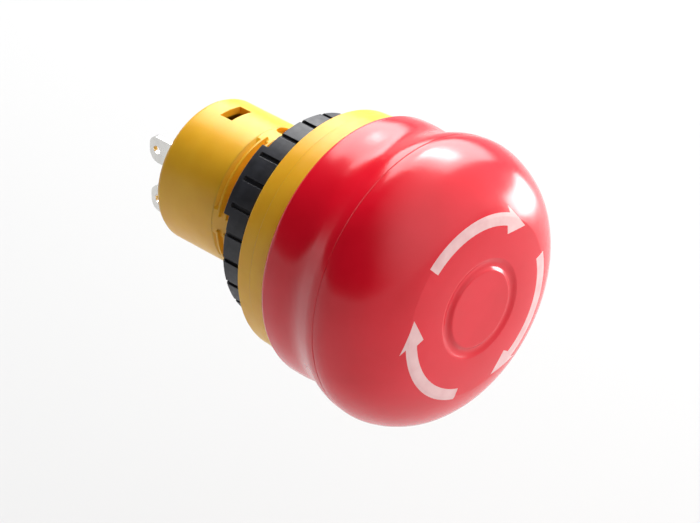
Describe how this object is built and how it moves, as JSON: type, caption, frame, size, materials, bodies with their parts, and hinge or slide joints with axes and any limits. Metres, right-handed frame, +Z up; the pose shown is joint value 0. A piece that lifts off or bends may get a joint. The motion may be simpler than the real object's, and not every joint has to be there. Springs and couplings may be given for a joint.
{
  "type": "emergency stop button",
  "caption": "Panel-mounted push-lock, turn-reset emergency stop button with a red mushroom head, yellow bezel, threaded shank and solder-tab contact block.",
  "frame": {"origin": "centre of the plane where the bezel's rear face sits on the panel", "axes": "-Y towards the operator along the button's axis, +Y to the rear terminals, +Z up, +X to the operator's right"},
  "size_m": [0.03, 0.0413, 0.03],
  "materials": {
    "yellow": "satin moulded nylon",
    "red": "glossy moulded polycarbonate",
    "arrow_mark": "pale pink inlay",
    "nut_black": "satin glass-filled nylon",
    "gasket": "matte rubber",
    "washer": "plated steel",
    "base": "matte moulded nylon",
    "inner_white": "natural acetal",
    "inner_black": "moulded phenolic",
    "tinned": "tin-plated brass",
    "silver": "silver alloy",
    "brass": "rolled brass strip",
    "spring_steel": "bright spring steel"
  },
  "bodies": {
    "housing": {"front_housing": "yellow", "rear_housing": "yellow", "panel_gasket": "gasket", "latch_sleeve": "inner_white", "terminal_base": "base", "terminal_1": "tinned", "terminal_2": "tinned", "terminal_3": "tinned", "terminal_4": "tinned", "fixed_contact_tips": "silver", "window_leaf": "spring_steel", "return_spring": "spring_steel"},
    "plunger": {"plunger": "inner_white", "spring_cap": "inner_white", "contact_carrier": "inner_black", "contact_bridge_1": "brass", "contact_bridge_2": "brass", "contact_spring_1": "spring_steel", "contact_spring_2": "spring_steel", "bridge_tips": "silver", "torsion_spring": "spring_steel"},
    "button": {"mushroom_cap": "red", "mushroom_skirt": "red", "direction_arrows": "arrow_mark", "spindle": "inner_white", "cam_plate": "spring_steel", "cam_clip": "spring_steel"},
    "lock_pin_a": {"lock_pin_a": "spring_steel"},
    "lock_pin_b": {"lock_pin_b": "spring_steel"},
    "washer": {"locking_washer": "washer"},
    "nut": {"lock_nut": "nut_black"}
  },
  "joints": [
    {"name": "button_push", "type": "slide", "parent": "housing", "child": "plunger", "axis": [0, 1, 0], "range_m": [0, 0.004], "stiffness_N_per_m": 1100, "springref_m": -0.004, "deforming": ["return_spring"]},
    {"name": "button_turn", "type": "hinge", "parent": "plunger", "child": "button", "pos_m": [0, 0, 0], "axis": [0, 1, 0], "range_deg": [0, 35], "stiffness_Nm_per_rad": 0.06, "springref_deg": -11.46, "deforming": ["torsion_spring"]},
    {"name": "lock_pin_a_slide", "type": "slide", "parent": "plunger", "child": "lock_pin_a", "axis": [1, 0, 0], "range_m": [-0.0008, 0]},
    {"name": "lock_pin_b_slide", "type": "slide", "parent": "plunger", "child": "lock_pin_b", "axis": [-1, 0, 0], "range_m": [-0.0008, 0]},
    {"name": "washer_slide", "type": "slide", "parent": "housing", "child": "washer", "axis": [0, 1, 0], "range_m": [0, 0.0035]},
    {"name": "nut_turn", "type": "hinge", "parent": "washer", "child": "nut", "pos_m": [0, 0, 0], "axis": [0, 1, 0], "range_deg": [0, 1260]}
  ],
  "couplings": [
    {"joint": "lock_pin_a_slide", "follows": "button_turn", "m_per_rad": -0.0013096},
    {"joint": "lock_pin_b_slide", "follows": "button_turn", "m_per_rad": -0.0013096},
    {"joint": "nut_turn", "follows": "washer_slide", "rad_per_m": 6283.2}
  ]
}
